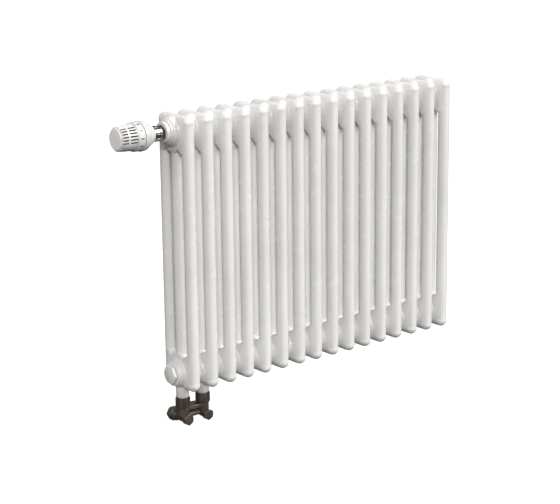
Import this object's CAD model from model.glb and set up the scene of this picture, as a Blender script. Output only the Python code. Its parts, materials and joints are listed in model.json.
import bpy
import json
from math import atan2, cos, degrees, hypot, pi, radians, sin
from mathutils import Matrix, Vector

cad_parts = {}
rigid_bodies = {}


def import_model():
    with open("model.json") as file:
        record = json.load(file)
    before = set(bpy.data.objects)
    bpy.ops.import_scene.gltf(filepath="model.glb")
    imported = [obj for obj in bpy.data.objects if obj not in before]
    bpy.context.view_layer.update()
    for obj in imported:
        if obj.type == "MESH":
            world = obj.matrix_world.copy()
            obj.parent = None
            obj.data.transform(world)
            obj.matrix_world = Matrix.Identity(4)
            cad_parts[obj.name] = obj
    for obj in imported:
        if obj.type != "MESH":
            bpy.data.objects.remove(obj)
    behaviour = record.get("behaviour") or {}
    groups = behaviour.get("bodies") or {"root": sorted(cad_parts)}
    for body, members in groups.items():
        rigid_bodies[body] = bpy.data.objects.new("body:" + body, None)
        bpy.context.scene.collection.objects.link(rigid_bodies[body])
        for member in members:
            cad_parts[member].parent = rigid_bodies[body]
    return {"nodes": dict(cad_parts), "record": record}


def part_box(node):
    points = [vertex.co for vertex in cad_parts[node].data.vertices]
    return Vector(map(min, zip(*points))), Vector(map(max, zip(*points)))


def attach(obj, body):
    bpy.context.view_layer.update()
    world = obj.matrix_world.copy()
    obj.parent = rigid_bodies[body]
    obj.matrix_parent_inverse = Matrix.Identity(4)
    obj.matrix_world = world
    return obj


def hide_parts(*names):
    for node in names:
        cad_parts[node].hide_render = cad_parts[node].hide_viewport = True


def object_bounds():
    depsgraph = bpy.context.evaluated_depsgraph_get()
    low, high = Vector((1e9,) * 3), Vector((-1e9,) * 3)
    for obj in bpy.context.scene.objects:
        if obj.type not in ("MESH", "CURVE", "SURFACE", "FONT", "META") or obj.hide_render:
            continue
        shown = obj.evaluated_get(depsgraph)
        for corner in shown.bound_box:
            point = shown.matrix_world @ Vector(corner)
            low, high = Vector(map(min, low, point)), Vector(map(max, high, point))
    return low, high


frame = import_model()
cad_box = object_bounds()

# White tubular radiator with a thermostatic head and a connection block.
# Sizes are in millimetres and are scaled where an operator needs metres.
MM = 0.001
CLOSE = 1e-6
ORIGIN = (0, 0, 0)

# ---- Bench work ----


def let_go():
    bpy.ops.object.select_all(action="DESELECT")


def hold(piece):
    let_go()
    piece.select_set(True)
    bpy.context.view_layer.objects.active = piece


def close_up():
    bpy.ops.object.mode_set(mode="OBJECT")


def fix_in_place(piece):
    hold(piece)
    bpy.ops.object.transform_apply(location=True, rotation=True, scale=True)
    return piece


def set_down(piece, place, turned=(0, 0, 0)):
    piece.rotation_euler = turned
    piece.location = place
    return fix_in_place(piece)


def tidy_skin(piece):
    hold(piece)
    bpy.ops.object.mode_set(mode="EDIT")
    bpy.ops.mesh.select_all(action="SELECT")
    bpy.ops.mesh.remove_doubles(threshold=CLOSE)
    bpy.ops.mesh.normals_make_consistent(inside=False)
    close_up()


def apply_modifier(piece, kind, **settings):
    hold(piece)
    modifier = piece.modifiers.new(kind.title(), kind)
    for key, value in settings.items():
        setattr(modifier, key, value)
    bpy.ops.object.modifier_apply(modifier=modifier.name)
    return piece


def break_edges(piece, width, segments=2, sharper_than=38):
    return apply_modifier(piece, "BEVEL", width=width * MM, segments=segments,
                          limit_method="ANGLE", angle_limit=radians(sharper_than))


def smooth(piece, sharper_than=40):
    hold(piece)
    bpy.ops.object.shade_smooth_by_angle(angle=radians(sharper_than))
    return piece


def carve(piece, tool, operation="DIFFERENCE"):
    apply_modifier(piece, "BOOLEAN", object=tool, operation=operation, solver="EXACT")
    bpy.data.objects.remove(tool)
    return piece


def weld(pieces, name):
    let_go()
    for piece in pieces:
        piece.select_set(True)
    bpy.context.view_layer.objects.active = pieces[0]
    bpy.ops.object.join()
    pieces[0].name = name
    return pieces[0]


def rod(radius, start, end, sides=64, small=None):
    """A bar between two heights on the Z axis; small is its radius at the end."""
    let_go()
    bpy.ops.mesh.primitive_cone_add(
        vertices=sides, radius1=radius * MM, radius2=(radius if small is None else small) * MM,
        depth=(end - start) * MM, location=(0, 0, (start + end) / 2 * MM))
    return fix_in_place(bpy.context.object)


def block(low, high):
    let_go()
    size = [(b - a) * MM for a, b in zip(low, high)]
    middle = [(a + b) / 2 * MM for a, b in zip(low, high)]
    bpy.ops.mesh.primitive_cube_add(size=1, location=middle, scale=size)
    return fix_in_place(bpy.context.object)


def ball(radius, place):
    let_go()
    bpy.ops.mesh.primitive_uv_sphere_add(
        segments=48, ring_count=24, radius=radius * MM, location=[c * MM for c in place])
    return fix_in_place(bpy.context.object)


def hoop(radius, wire, height, sides=64):
    let_go()
    bpy.ops.mesh.primitive_torus_add(
        major_radius=radius * MM, minor_radius=wire * MM, major_segments=sides,
        minor_segments=12, location=(0, 0, height * MM))
    return fix_in_place(bpy.context.object)


def lathe(name, profile, sides=96, hollow=True, first_angle=0):
    """Turns a profile of (height, radius) on the Z axis. A hollow one ends where it starts."""
    let_go()
    height, radius = profile[0]
    bpy.ops.mesh.primitive_circle_add(
        vertices=sides, radius=radius * MM, fill_type="NOTHING", location=(0, 0, height * MM),
        rotation=(0, 0, radians(first_angle)))
    piece = fix_in_place(bpy.context.object)
    piece.name = name
    bpy.ops.object.mode_set(mode="EDIT")
    bpy.ops.mesh.select_mode(type="EDGE")
    bpy.ops.mesh.select_all(action="SELECT")
    for next_height, next_radius in profile[1:] + ([profile[0]] if hollow else []):
        rise = (next_height - height) * MM
        bpy.ops.mesh.extrude_region_move(TRANSFORM_OT_translate={"value": (0, 0, rise)})
        grow = next_radius / radius
        bpy.ops.transform.resize(value=(grow, grow, 1), center_override=(0, 0, next_height * MM))
        height, radius = next_height, next_radius
    if not hollow:
        bpy.ops.mesh.select_all(action="SELECT")
        bpy.ops.mesh.fill_holes(sides=0)
    close_up()
    tidy_skin(piece)
    return piece


def nut_blank(name, flats, start, end, bore, chamfer=(True, True), crown=0.93):
    """A hexagon across its flats, turned down at its corners and bored."""
    corner = flats / 2 / cos(pi / 6)
    flat = flats / 2 * crown
    slope = (corner - flat) * 0.58
    piece = rod(corner, start, end, sides=6)
    outline = [(start - 0.01, flat if chamfer[0] else corner + 1)]
    if chamfer[0]:
        outline.append((start + slope * 1.2, corner + 0.8))
    if chamfer[1]:
        outline.append((end - slope * 1.2, corner + 0.8))
    outline.append((end + 0.01, flat if chamfer[1] else corner + 1))
    carve(piece, lathe("Turning", outline, hollow=False), "INTERSECT")
    if bore:
        carve(piece, rod(bore, start - 1, end + 1))
    piece.name = name
    tidy_skin(piece)
    return piece


def copy_of(piece, name):
    hold(piece)
    bpy.ops.object.duplicate(linked=False)
    twin = bpy.context.object
    twin.name = name
    return twin


def pick(piece, wanted):
    """Opens a piece with the faces selected whose centre, in millimetres, is wanted."""
    hold(piece)
    bpy.ops.object.mode_set(mode="EDIT")
    bpy.ops.mesh.select_mode(type="FACE")
    bpy.ops.mesh.select_all(action="DESELECT")
    close_up()
    for face in piece.data.polygons:
        face.select = wanted(face.center / MM)
    bpy.ops.object.mode_set(mode="EDIT")


# ---- Finishes ----


def new_finish(name):
    finish = bpy.data.materials.new(name)
    finish.use_nodes = True
    nodes, links = finish.node_tree.nodes, finish.node_tree.links
    shader = nodes["Principled BSDF"]
    place = nodes.new("ShaderNodeTexCoord").outputs["Object"]
    return finish, nodes, links, shader, place


def grain(nodes, links, place, scale, detail, stretch=(1, 1, 1)):
    """Noise with a pitch given by scale, in lumps per metre, drawn out along an axis."""
    mapping = nodes.new("ShaderNodeMapping")
    mapping.inputs["Scale"].default_value = stretch
    links.new(place, mapping.inputs["Vector"])
    noise = nodes.new("ShaderNodeTexNoise")
    noise.inputs["Scale"].default_value = scale
    noise.inputs["Detail"].default_value = detail
    links.new(mapping.outputs["Vector"], noise.inputs["Vector"])
    return noise.outputs["Fac"]


def tint(nodes, links, driver, stops):
    ramp = nodes.new("ShaderNodeValToRGB")
    while len(ramp.color_ramp.elements) < len(stops):
        ramp.color_ramp.elements.new(0.5)
    for element, (place, colour) in zip(ramp.color_ramp.elements, stops):
        element.position = place
        element.color = (*colour, 1)
    links.new(driver, ramp.inputs["Fac"])
    return ramp.outputs["Color"]


def spread(nodes, links, driver, low, high, start=0.3, end=0.7):
    span = nodes.new("ShaderNodeMapRange")
    span.inputs["From Min"].default_value = start
    span.inputs["From Max"].default_value = end
    span.inputs["To Min"].default_value = low
    span.inputs["To Max"].default_value = high
    links.new(driver, span.inputs["Value"])
    return span.outputs["Result"]


def lay_over(nodes, links, amount, base, colour):
    mix = nodes.new("ShaderNodeMix")
    mix.data_type = "RGBA"
    links.new(amount, mix.inputs["Factor"])
    links.new(base, mix.inputs["A"])
    mix.inputs["B"].default_value = (*colour, 1)
    return mix.outputs["Result"]


def relief(nodes, links, shader, *layers):
    """Stacks bumps, each a (height, strength, depth in mm), and gives them to the shader."""
    below = None
    for height, strength, depth in layers:
        bump = nodes.new("ShaderNodeBump")
        bump.inputs["Strength"].default_value = strength
        bump.inputs["Distance"].default_value = depth * MM
        links.new(height, bump.inputs["Height"])
        if below is not None:
            links.new(below, bump.inputs["Normal"])
        below = bump.outputs["Normal"]
    links.new(below, shader.inputs["Normal"])


def white_enamel():
    finish, nodes, links, shader, place = new_finish("white_enamel")
    clouds = grain(nodes, links, place, 9, 2)
    base = tint(nodes, links, clouds, [(0.3, (0.74, 0.732, 0.72)), (0.7, (0.79, 0.785, 0.775))])
    # Dust settles in thin streaks down the tubes.
    streaks = grain(nodes, links, place, 30, 4, (1, 1, 0.06))
    dust = spread(nodes, links, streaks, 0, 0.08, 0.55, 0.75)
    base = lay_over(nodes, links, dust, base, (0.62, 0.60, 0.57))
    specks = spread(nodes, links, grain(nodes, links, place, 420, 1), 0, 0.25, 0.74, 0.77)
    base = lay_over(nodes, links, specks, base, (0.5, 0.48, 0.45))
    links.new(base, shader.inputs["Base Color"])
    sheen = grain(nodes, links, place, 26, 3)
    links.new(spread(nodes, links, sheen, 0.16, 0.30), shader.inputs["Roughness"])
    orange_peel = grain(nodes, links, place, 260, 1.5)
    sags = grain(nodes, links, place, 28, 1, (1, 1, 0.35))
    relief(nodes, links, shader, (sags, 0.12, 0.2), (orange_peel, 0.10, 0.05))
    shader.inputs["Coat Weight"].default_value = 0.35
    shader.inputs["Coat Roughness"].default_value = 0.12
    return finish


def plated(name, dark, light, rough, scale=60, tarnish=None, bump=0.12, metal=1.0):
    """A metal finish with cloudy colour, uneven polish, fine pits and some tarnish."""
    finish, nodes, links, shader, place = new_finish(name)
    clouds = grain(nodes, links, place, scale, 4)
    base = tint(nodes, links, clouds, [(0.32, dark), (0.68, light)])
    if tarnish:
        spots = grain(nodes, links, place, scale * 3.1, 5)
        amount = spread(nodes, links, spots, 0, 0.75, 0.56, 0.72)
        base = lay_over(nodes, links, amount, base, tarnish)
    links.new(base, shader.inputs["Base Color"])
    polish = grain(nodes, links, place, scale * 2.3, 3)
    links.new(spread(nodes, links, polish, rough * 0.7, rough * 1.35), shader.inputs["Roughness"])
    pits = grain(nodes, links, place, scale * 22, 2)
    swells = grain(nodes, links, place, scale * 2, 1)
    relief(nodes, links, shader, (swells, bump, 0.25), (pits, bump, 0.06))
    shader.inputs["Metallic"].default_value = metal
    return finish


def moulded(name, dark, light, rough, texture=900, bump=0.2, grime=(0.45, 0.43, 0.40)):
    """A moulded plastic or rubber with fine texture, faint mottling and handling marks."""
    finish, nodes, links, shader, place = new_finish(name)
    mottle = grain(nodes, links, place, 45, 3)
    base = tint(nodes, links, mottle, [(0.3, dark), (0.7, light)])
    rubbed = spread(nodes, links, grain(nodes, links, place, 130, 5), 0, 0.22, 0.58, 0.75)
    base = lay_over(nodes, links, rubbed, base, grime)
    links.new(base, shader.inputs["Base Color"])
    links.new(spread(nodes, links, mottle, rough * 0.8, rough * 1.25), shader.inputs["Roughness"])
    fine = grain(nodes, links, place, texture, 2)
    flow = grain(nodes, links, place, 70, 1)
    relief(nodes, links, shader, (flow, 0.15, 0.2), (fine, bump, 0.05))
    return finish


def studio_floor():
    finish, nodes, links, shader, place = new_finish("studio_floor")
    clouds = grain(nodes, links, place, 1.2, 2)
    base = tint(nodes, links, clouds, [(0.3, (0.28, 0.28, 0.28)), (0.7, (0.32, 0.32, 0.32))])
    links.new(base, shader.inputs["Base Color"])
    links.new(spread(nodes, links, clouds, 0.85, 0.95), shader.inputs["Roughness"])
    relief(nodes, links, shader, (grain(nodes, links, place, 300, 2), 0.05, 0.1))
    shader.inputs["Specular IOR Level"].default_value = 0.1
    shader.inputs["Emission Color"].default_value = (1, 1, 1, 1)
    shader.inputs["Emission Strength"].default_value = 0.8
    return finish


enamel = white_enamel()
chrome = plated("chrome_plate", (0.50, 0.49, 0.47), (0.62, 0.61, 0.59), 0.17, bump=0.04)
zinc = plated("zinc_plate", (0.42, 0.43, 0.45), (0.60, 0.61, 0.62), 0.32,
              tarnish=(0.30, 0.30, 0.31))
brass = plated("turned_brass", (0.46, 0.33, 0.15), (0.62, 0.47, 0.23), 0.28,
               tarnish=(0.25, 0.17, 0.09))
collar_metal = plated("brown_collar", (0.11, 0.085, 0.065), (0.19, 0.15, 0.115), 0.3,
                      tarnish=(0.06, 0.045, 0.035))
bronze = plated("dark_plate", (0.070, 0.056, 0.047), (0.130, 0.106, 0.090), 0.38, scale=75,
                tarnish=(0.045, 0.035, 0.029), bump=0.3, metal=0.5)
rubber = moulded("black_rubber", (0.018, 0.018, 0.018), (0.032, 0.031, 0.03), 0.6, 700, 0.35,
                 (0.08, 0.075, 0.07))
fibre = moulded("pressed_fibre", (0.24, 0.13, 0.08), (0.34, 0.20, 0.12), 0.8, 1500, 0.6,
                (0.16, 0.10, 0.07))
head_plastic = moulded("head_plastic", (0.64, 0.64, 0.63), (0.71, 0.71, 0.70), 0.32)
cap_plastic = moulded("cap_plastic", (0.86, 0.84, 0.825), (0.90, 0.885, 0.87), 0.42)
inner_plastic = moulded("inner_plastic", (0.045, 0.043, 0.05), (0.075, 0.072, 0.08), 0.6)
ink = moulded("mark_ink", (0.05, 0.05, 0.05), (0.09, 0.088, 0.085), 0.5)

slot_finish = {"enamel": enamel, "brass": brass, "chrome": chrome, "bronze": bronze,
               "head_plastic": head_plastic}


def paint(piece, *finishes):
    shares = [face.material_index for face in piece.data.polygons]
    piece.data.materials.clear()
    for finish in finishes:
        piece.data.materials.append(finish)
    if len(finishes) > 1:
        piece.data.polygons.foreach_set("material_index", shares)


def deliver(piece, body, slot, nodes, *finishes):
    """Gives a finished piece its material, its body and the CAD nodes that it stands for."""
    paint(piece, *(finishes or (slot_finish[slot],)))
    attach(piece, body)
    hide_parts(*nodes)


# ---- Places, from the frame ----


def middle(node):
    low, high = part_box(node)
    return (low + high) / 2


section_count = sum(name.startswith("section_") for name in frame["nodes"])
first_x = middle("section_01").x
last_x = middle(f"section_{section_count:02d}").x
pitch = (last_x - first_x) / (section_count - 1)
base_z, top_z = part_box("section_01")[0].z / MM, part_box("section_01")[1].z / MM
hub_z = middle("union_nut").z
low_hub_z = middle("lower_left_plug").z
body = frame["record"]["behaviour"]["bodies"]
root = next(name for name, nodes in body.items() if "section_01" in nodes)


def body_of(node):
    return next(name for name, nodes in body.items() if node in nodes)


def outward_left(piece, z):
    return set_down(piece, (first_x, 0, z), (0, -pi / 2, 0))


def outward_right(piece, z):
    return set_down(piece, (last_x, 0, z), (0, pi / 2, 0))


# ---- Sections ----

TUBE_R = 12.5
COLUMN_GAP = 38
HALF_THICK = 13
RIDGE_R = 13.2
ARCH_R = 6.2
HUB_RISE = 35
SEAM_DROP = 15


def pressed_header():
    """One header: a rounded slab with arches, hubs on both faces and three short necks."""
    ridge_z = top_z - RIDGE_R
    reach = COLUMN_GAP - 2
    slab = block((-HALF_THICK, -reach, -ARCH_R), (HALF_THICK, reach, ridge_z))
    for side in (-1, 1):
        arch = rod(ARCH_R, -2 * HALF_THICK, 2 * HALF_THICK, sides=48)
        set_down(arch, (0, side * COLUMN_GAP / 2 * MM, -ARCH_R * MM), (0, pi / 2, 0))
        carve(slab, arch)
    pieces = [slab, set_down(rod(RIDGE_R, -reach, reach), (0, 0, ridge_z * MM), (pi / 2, 0, 0))]
    for side in (-1, 1):
        pieces.append(ball(RIDGE_R - 0.1, (0, side * COLUMN_GAP, ridge_z)))
        hub = rod(30.5, HALF_THICK - 2, pitch / MM / 2 - 0.5, small=26.6)
        pieces.append(set_down(hub, (0, 0, HUB_RISE * MM), (0, side * pi / 2, 0)))
    for row in (-1, 0, 1):
        neck = rod(TUBE_R, -SEAM_DROP, ridge_z)
        bead = hoop(TUBE_R - 0.15, 0.75, -SEAM_DROP + 0.8)
        for part in (neck, bead):
            pieces.append(set_down(part, (0, row * COLUMN_GAP * MM, 0)))
    header = weld(pieces, "Header")
    apply_modifier(header, "REMESH", mode="VOXEL", voxel_size=1.25 * MM, use_smooth_shade=True)
    apply_modifier(header, "SMOOTH", factor=0.5, iterations=7)
    return header


def whole_section():
    """Two headers, three tubes between them and the ground edges of the hub joints."""
    upper = pressed_header()
    lower = copy_of(upper, "Lower header")
    lower.scale = (1, 1, -1)
    set_down(lower, (0, 0, (base_z + top_z) * MM))
    tidy_skin(lower)
    pieces = [upper, lower]
    joint = pitch / MM / 2
    seam_low, seam_high = base_z + top_z + SEAM_DROP - 4, -SEAM_DROP + 4
    for row in (-1, 0, 1):
        tube = rod(TUBE_R - 0.06, seam_low, seam_high, sides=72)
        pieces.append(set_down(tube, (0, row * COLUMN_GAP * MM, 0)))
    for z in (HUB_RISE, base_z + top_z - HUB_RISE):
        for side in (-1, 1):
            lip = lathe("Lip", [(joint - 1.6, 22), (joint - 1.6, 26.2), (joint - 0.5, 26.2),
                                (joint, 25.5), (joint, 22)])
            pieces.append(set_down(lip, (0, 0, z * MM), (0, side * pi / 2, 0)))
    return smooth(weld(pieces, "Section"))


model_section = whole_section()
for number in range(1, section_count + 1):
    node = f"section_{number:02d}"
    section = copy_of(model_section, f"steel_{node}")
    set_down(section, (first_x + (number - 1) * pitch, 0, 0))
    deliver(section, root, "enamel", [node])
bpy.data.objects.remove(model_section)

# ---- End fittings ----


def end_bush(name, bore, shoulder):
    """A ring on the hub's face, with a smaller shoulder where a fitting needs one."""
    face = 27
    profile = [(22.6, bore), (22.6, 24.5), (face, 24.5)]
    if shoulder:
        profile += [(face, 21.0), (face + shoulder, 21.0)]
    profile.append((profile[-1][0], bore))
    ring = lathe(name, profile)
    return smooth(break_edges(ring, 0.7, 3))


def blank_plug(name, flats, thick):
    """A hexagonal plug: chamfered corners, a turned face and its neck."""
    seat = 28
    plug = nut_blank(name, flats, seat, seat + thick, None, (False, True))
    plug = weld([plug, rod(10.4, 18, seat + 1)], name)
    return smooth(break_edges(plug, 0.35, 2))


for node, z, outward, bore, shoulder in (
        ("upper_left_bush", hub_z, outward_left, 10.4, 8),
        ("lower_left_bush", low_hub_z, outward_left, 10.4, 0),
        ("upper_right_bush", hub_z, outward_right, 10.4, 0),
        ("lower_right_bush", low_hub_z, outward_right, 10.4, 0)):
    bush = outward(end_bush(f"turned_{node}", bore, shoulder), z)
    deliver(bush, root, "enamel", [node])

for node, outward in (("lower_left_plug", outward_left), ("lower_right_plug", outward_right)):
    plug = outward(blank_plug(f"hex_{node}", 36, 6.5), low_hub_z)
    deliver(plug, root, "enamel", [node])


def vent_body():
    """A chrome hexagon with a round nose, bored for the screw and its side outlet."""
    body_piece = blank_plug("vent_body", 22, 6)
    nose = lathe("Nose", [(33.5, 3.7), (33.5, 8), (40, 8), (41, 7.2), (41, 3.7)])
    body_piece = carve(body_piece, rod(3.66, 26, 42))
    body_piece = weld([body_piece, nose], "chrome_vent_plug")
    outlet = rod(1, 0, 12, sides=24)
    set_down(outlet, (0, 0, 38 * MM), (0, pi / 2, 0))
    carve(body_piece, outlet)
    return smooth(break_edges(body_piece, 0.3, 2))


def key_screw():
    """A square-ended screw with a cone tip and rounded edges."""
    tip = 26.1
    shank = rod(1, tip, tip + 3, small=3.6)
    square = block((-2.5, -2.5, tip + 9), (2.5, 2.5, tip + 17))
    pieces = [shank, rod(3.6, tip + 3, tip + 10), square]
    pieces += [hoop(3.35, 0.3, tip + 3.6 + step * 0.9, 40) for step in range(6)]
    screw = weld(pieces, "square_vent_screw")
    return smooth(break_edges(screw, 0.3, 2, 60))


deliver(outward_right(vent_body(), hub_z), root, "chrome", ["vent_plug"])
deliver(outward_right(key_screw(), hub_z), body_of("vent_screw"), "brass", ["vent_screw"])

# ---- Thermostatic head ----

RIB_STEP = 30
RIB_HALF = 4.6


def ribbed_nut():
    """The chrome union nut, with ribs round it for grip."""
    nut = lathe("ribbed_union_nut", [(42, 15.1), (42, 15.4), (42.8, 16), (44, 16), (57.4, 16),
                                     (58.6, 16), (60, 14.8), (60, 12.1), (57, 12.1), (57, 15.1)],
                sides=72, first_angle=2.5)

    def on_rib(centre):
        angle = degrees(atan2(centre.y, centre.x)) % RIB_STEP
        near = min(angle, RIB_STEP - angle) < RIB_HALF
        return near and 44 < centre.z < 57.4 and hypot(centre.x, centre.y) > 15.7

    pick(nut, on_rib)
    bpy.ops.mesh.extrude_region_move()
    bpy.ops.transform.resize(value=(1.018, 1.018, 0.97), center_override=(0, 0, 50.7 * MM))
    close_up()
    return smooth(break_edges(nut, 0.28, 2))


def fixed_base():
    """The neck, cone and rim of the head, and the slotted sleeve inside it."""
    shell = lathe("fixed_head_base", [
        (50, 3.1), (50, 14.7), (56.8, 14.7), (56.8, 12), (60.2, 12), (60.2, 17.0), (60.8, 17.6),
        (66, 20.9), (72, 24.4), (78.4, 28.0), (79.6, 28.9), (81, 29.4), (81.5, 29.0), (82.1, 29.0),
        (82.6, 29.6), (89.2, 30.45), (90, 30.0), (90, 27.2), (81, 27.0), (81, 20), (122, 20),
        (126, 19.6), (126, 17.6), (64.4, 17.5), (64.4, 3.1)], sides=96)
    notch = block((29.4, -1.0, 83.6), (32, 1.0, 91))
    carve(shell, set_down(notch, ORIGIN, (0, 0, -pi / 2)))
    for turn in range(8):
        window = block((16, -2.5, 79), (24, 2.5, 115))
        carve(shell, set_down(window, ORIGIN, (0, 0, turn * pi / 4)))
    return smooth(break_edges(shell, 0.3, 2))


SLOT_ROWS = ((107.8, 123.0), (127.2, 139.6))
SLOT_STEP = 14
SLOT_HALF = 3.5
SLOTS = 6
FIELD = 120
FRONT = -90
DASHES = 9
DASH_STEP = 32


def slotted_grip():
    """The handwheel: a collar, a tapered grip and three fields of air slots."""
    wheel = lathe("slotted_handwheel", [
        (90.7, 26.6), (90.7, 28.3), (91.4, 29.0), (97.6, 29.0), (104.6, 29.0), (105.6, 28.6),
        (106.0, 27.2), (106.6, 26.6), (107.8, 26.5), (123.0, 25.55), (127.2, 25.3), (139.6, 24.3),
        (140.4, 23.7), (141.0, 22.6), (141.0, 20.2), (138.1, 20.2), (138.1, 4), (135, 4),
        (135, 20.1), (116, 20.1)], sides=180, first_angle=1)

    def in_slot(centre):
        outside = hypot(centre.x, centre.y) >= 22.6
        if not outside or not any(low < centre.z < high for low, high in SLOT_ROWS):
            return False
        angle = (degrees(atan2(centre.y, centre.x)) - FRONT + SLOT_STEP) % FIELD
        nearest = round(angle / SLOT_STEP)
        on_slot = nearest < SLOTS and abs(angle - nearest * SLOT_STEP) < SLOT_HALF
        return on_slot or angle > FIELD - SLOT_HALF

    pick(wheel, in_slot)
    bpy.ops.mesh.extrude_region_move()
    bpy.ops.transform.resize(value=(0.86, 0.86, 1), center_override=(0, 0, 120 * MM))
    for finish in (head_plastic, inner_plastic):
        wheel.data.materials.append(finish)
    wheel.active_material_index = 1
    bpy.ops.mesh.select_more()
    bpy.ops.object.material_slot_assign()
    close_up()
    return smooth(break_edges(wheel, 0.25, 2))


def collar_marks():
    """Printed dashes round the collar, the middle one at the base's notch."""
    dashes = []
    for mark in range(DASHES):
        dash = block((28.8, -1.2, 94.6), (29.2, 1.2, 101.6))
        angle = radians(FRONT + DASH_STEP * (mark - DASHES // 2))
        dashes.append(set_down(dash, ORIGIN, (0, 0, angle)))
    return break_edges(weld(dashes, "collar_dashes"), 0.12, 2)


def plain_cap():
    """The round end cap: a crowned face with a soft edge, seated in the grip."""
    cap = lathe("plain_end_cap", [
        (138.3, 19.9), (141.1, 19.9), (141.1, 21.9), (141.9, 21.9), (142.7, 21.4), (143.2, 20.5),
        (143.4, 19.2), (143.5, 16.0), (143.5, 8.0)], hollow=False)
    return smooth(cap, 50)


nut = outward_left(ribbed_nut(), hub_z)
deliver(nut, root, "chrome", ["union_nut"])
base = outward_left(fixed_base(), hub_z)
deliver(base, root, "head_plastic", ["head_base"])
wheel = outward_left(slotted_grip(), hub_z)
deliver(wheel, body_of("handwheel"), "head_plastic", ["handwheel"], head_plastic, inner_plastic)
marks = outward_left(collar_marks(), hub_z)
deliver(marks, body_of("scale_marks"), "rubber", ["scale_marks"], ink)
cap = outward_left(plain_cap(), hub_z)
deliver(cap, body_of("end_cap"), "head_plastic", ["end_cap"], cap_plastic)

# ---- Connection block ----

pipe_x = {side: middle(f"{side}_pipe_nut").x for side in ("left", "right")}
valve_z = middle("left_pipe_nut").z / MM
stub_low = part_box("left_stub")[0].z / MM


def threaded(radius, start, end, pitch_mm=1.4):
    """A thread cut as fine grooves down a bar."""
    profile = [(start, radius - 0.7)]
    height = start
    while height + pitch_mm <= end:
        profile += [(height + pitch_mm * 0.35, radius), (height + pitch_mm * 0.65, radius),
                    (height + pitch_mm, radius - 0.7)]
        height += pitch_mm
    profile += [(end, radius - 0.7), (end, 7), (start, 7)]
    return lathe("Thread", profile, sides=64)


def block_stub(side):
    """A stub from the first sections down into the block, with a thread in its nut."""
    face_z = stub_low + 10
    stub = lathe("Stub", [(face_z, 7), (face_z, 12.5), (face_z + 0.7, 13.2), (base_z + 5.5, 13.2),
                          (base_z + 5.5, 7)], sides=96)
    thread = threaded(11.5, stub_low, face_z + 0.5)
    return smooth(weld([stub, thread], f"white_{side}_stub"), 50)


def clamp_nut():
    """The union nut that pulls a barrel up to its stub."""
    low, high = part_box("left_union_nut")[0].z / MM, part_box("left_union_nut")[1].z / MM
    nut = nut_blank("Union nut", 26.5, low, high, 11.6, crown=0.97)
    lip = lathe("Lip", [(low + 0.3, 9.6), (low + 0.3, 12.0), (low + 4, 12.0), (low + 4, 9.6)])
    nut = weld([nut, lip], "Union nut")
    return smooth(break_edges(nut, 0.45, 3))


def spindle_cap():
    """A hexagonal cap with a turned crown on its front."""
    cap_y, length = 12.5, 10.5
    cap = nut_blank("Cap", 21, cap_y, cap_y + length - 0.7, None, (True, True))
    crown = lathe("Crown", [(cap_y + length - 1.6, 9.2), (cap_y + length - 0.5, 9.0),
                            (cap_y + length, 8.2), (cap_y + length, 3.0)], hollow=False)
    cap = weld([cap, crown], "Cap")
    carve(cap, rod(8.05, cap_y - 1, cap_y + length - 2))
    return smooth(break_edges(cap, 0.35, 2))


def pipe_clamp_nut():
    """The nut behind a valve that squeezes the ring onto the pipe."""
    nut = nut_blank("Pipe nut", 26, 25, 40.5, 7.65, crown=0.94)
    carve(nut, rod(11.5, 24, 39))
    rim = lathe("Rim", [(39.2, 7.65), (39.2, 10.6), (40.5, 10.2), (40.5, 7.65)])
    nut = set_down(weld([nut, rim], "Pipe nut"), ORIGIN, (0, 0, pi / 6))
    return smooth(break_edges(nut, 0.4, 2))


def cast_body():
    """Two valve barrels with necks and outlets, joined by a bridge and a stay, cast in one."""
    foot_z, shoulder_z, barrel_top = valve_z + 4, -542, -530
    parts = []
    for x in pipe_x.values():
        upright = [rod(11.2, barrel_top - 7, barrel_top), rod(9.3, shoulder_z - 2, barrel_top),
                   rod(12.4, foot_z, shoulder_z), rod(7.8, foot_z - 9, foot_z, small=12.4)]
        for part in upright:
            parts.append(set_down(part, (x, 0, 0)))
        for part, turned in ((rod(8.8, 0, 12.2), pi / 2), (rod(8.8, 0, 25), -pi / 2),
                             (rod(12.3, 20, 24.5), -pi / 2), (rod(11.5, 24, 34), -pi / 2)):
            parts.append(set_down(part, (x, 0, valve_z * MM), (turned, 0, 0)))
    left, right = pipe_x["left"] / MM, pipe_x["right"] / MM
    parts.append(block((left, -8, shoulder_z - 7.5), (right, 8, shoulder_z + 0.5)))
    parts.append(block((left, -5, valve_z - 1), (right, 5, valve_z + 6)))
    body_piece = weld(parts, "cast_block_body")
    apply_modifier(body_piece, "REMESH", mode="VOXEL", voxel_size=0.75 * MM, use_smooth_shade=True)
    apply_modifier(body_piece, "SMOOTH", factor=0.5, iterations=5)
    for x in pipe_x.values():
        for part, turned in ((rod(7.6, 21, 36), -pi / 2), (rod(5.5, -1, 30), -pi / 2),
                             (rod(5.05, -1, 20), pi / 2)):
            carve(body_piece, set_down(part, (x, 0, valve_z * MM), (turned, 0, 0)))
        carve(body_piece, set_down(rod(7, valve_z - 2, barrel_top + 2), (x, 0, 0)))
    necks = []
    for x in pipe_x.values():
        neck = lathe("Neck", [(11, 5.05), (11, 8), (18.2, 8), (18.5, 7.7), (18.5, 5.05)])
        necks.append(set_down(neck, (x, 0, valve_z * MM), (pi / 2, 0, 0)))
    return smooth(weld([body_piece] + necks, "cast_block_body"), 50)


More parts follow.
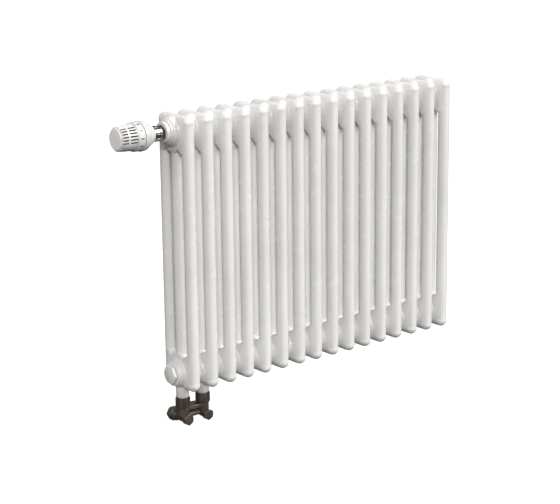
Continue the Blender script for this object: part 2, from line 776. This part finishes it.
deliver(cast_body(), root, "bronze", ["block_body"])
model_nut, model_cap, model_clamp = clamp_nut(), spindle_cap(), pipe_clamp_nut()
for side, x in pipe_x.items():
    stub = set_down(block_stub(side), (x, 0, 0))
    deliver(stub, root, "enamel", [f"{side}_stub"])
    nut = set_down(copy_of(model_nut, f"hex_{side}_union_nut"), (x, 0, 0))
    deliver(nut, root, "bronze", [f"{side}_union_nut"])
    cap = copy_of(model_cap, f"hex_{side}_cap")
    set_down(cap, (x, 0, valve_z * MM), (pi / 2, 0, 0))
    deliver(cap, body_of(f"{side}_cap"), "bronze", [f"{side}_cap"])
    clamp = copy_of(model_clamp, f"hex_{side}_pipe_nut")
    set_down(clamp, (x, 0, valve_z * MM), (-pi / 2, 0, 0))
    deliver(clamp, root, "bronze", [f"{side}_pipe_nut"])
for model in (model_nut, model_cap, model_clamp):
    bpy.data.objects.remove(model)

# ---- CAD nodes that stay ----

node_finish = {
    "flow_divider": zinc, "valve_insert": collar_metal, "insert_seal": rubber, "seat_disc": rubber,
    "valve_stem": zinc, "stem_spring": zinc, "gland": brass, "sensor": zinc, "push_pin": zinc,
    "overtravel_spring": zinc, "lower_left_seal": fibre, "lower_right_seal": fibre,
    "upper_right_seal": fibre, "block_seals": fibre, "left_spindle": brass,
    "right_spindle": brass, "spindle_seals": rubber, "cap_seals": rubber, "left_cone": brass,
    "right_cone": brass, "clamping_rings": brass,
}
for name, finish in node_finish.items():
    paint(frame["nodes"][name], finish)

# ---- Stage ----

FLOOR_DROP = 0.15
let_go()
bpy.ops.mesh.primitive_plane_add(size=80, location=(0, 0, cad_box[0].z - FLOOR_DROP))
floor = bpy.context.object
floor.name = "studio_floor"
floor.visible_diffuse = False
floor.visible_glossy = False
paint(floor, studio_floor())

world = bpy.data.worlds.new("studio")
bpy.context.scene.world = world
world.use_nodes = True
sky_nodes, sky_links = world.node_tree.nodes, world.node_tree.links
sky_nodes["Background"].inputs["Strength"].default_value = 1.0
direction = sky_nodes.new("ShaderNodeSeparateXYZ")
sky_links.new(sky_nodes.new("ShaderNodeTexCoord").outputs["Generated"], direction.inputs["Vector"])
rise = spread(sky_nodes, sky_links, direction.outputs["Z"], 0, 1, -1, 1)
sky = tint(sky_nodes, sky_links, rise,
           [(0.35, (0.05, 0.048, 0.045)), (0.50, (0.26, 0.26, 0.26)), (0.62, (0.42, 0.42, 0.425)),
            (0.82, (0.14, 0.142, 0.148))])
sky_links.new(sky, sky_nodes["Background"].inputs["Color"])


def sun(name, strength, spread_degrees, heading, height, colour, glare=True):
    """A broad light from a heading, clockwise from the wall, and a height over the floor."""
    lamp = bpy.data.lights.new(name, "SUN")
    lamp.energy = strength
    lamp.angle = radians(spread_degrees)
    lamp.color = colour
    light = bpy.data.objects.new(name, lamp)
    bpy.context.scene.collection.objects.link(light)
    way = Vector((sin(radians(heading)) * cos(radians(height)),
                  cos(radians(heading)) * cos(radians(height)), sin(radians(height))))
    light.rotation_euler = way.to_track_quat("Z", "Y").to_euler()
    light.location = way * 4
    light.visible_glossy = glare


sun("key_light", 3.0, 25, 140, 38, (1.0, 0.99, 0.975))
sun("front_light", 1.45, 12, 210, 24, (1.0, 1.0, 0.99))
sun("left_light", 0.85, 40, 266, 30, (1.0, 0.95, 0.915))
sun("back_light", 1.6, 20, 20, 40, (1.0, 1.0, 1.0), glare=False)

camera_data = bpy.data.cameras.new("studio_camera")
camera_data.sensor_width = 36
camera_data.lens = 107.55
camera_data.clip_end = 200
camera = bpy.data.objects.new("studio_camera", camera_data)
bpy.context.scene.collection.objects.link(camera)
right = Vector((0.7830, -0.6219, -0.0106))
up = Vector((0.1684, 0.1955, 0.9661))
ahead = Vector((0.5988, 0.7583, -0.2578))
turned = Matrix((right, up, -ahead)).transposed().to_4x4()
camera.matrix_world = Matrix.Translation((-2.1947, -2.6668, 0.6497)) @ turned
bpy.context.scene.camera = camera
bpy.context.scene.view_settings.view_transform = "Standard"
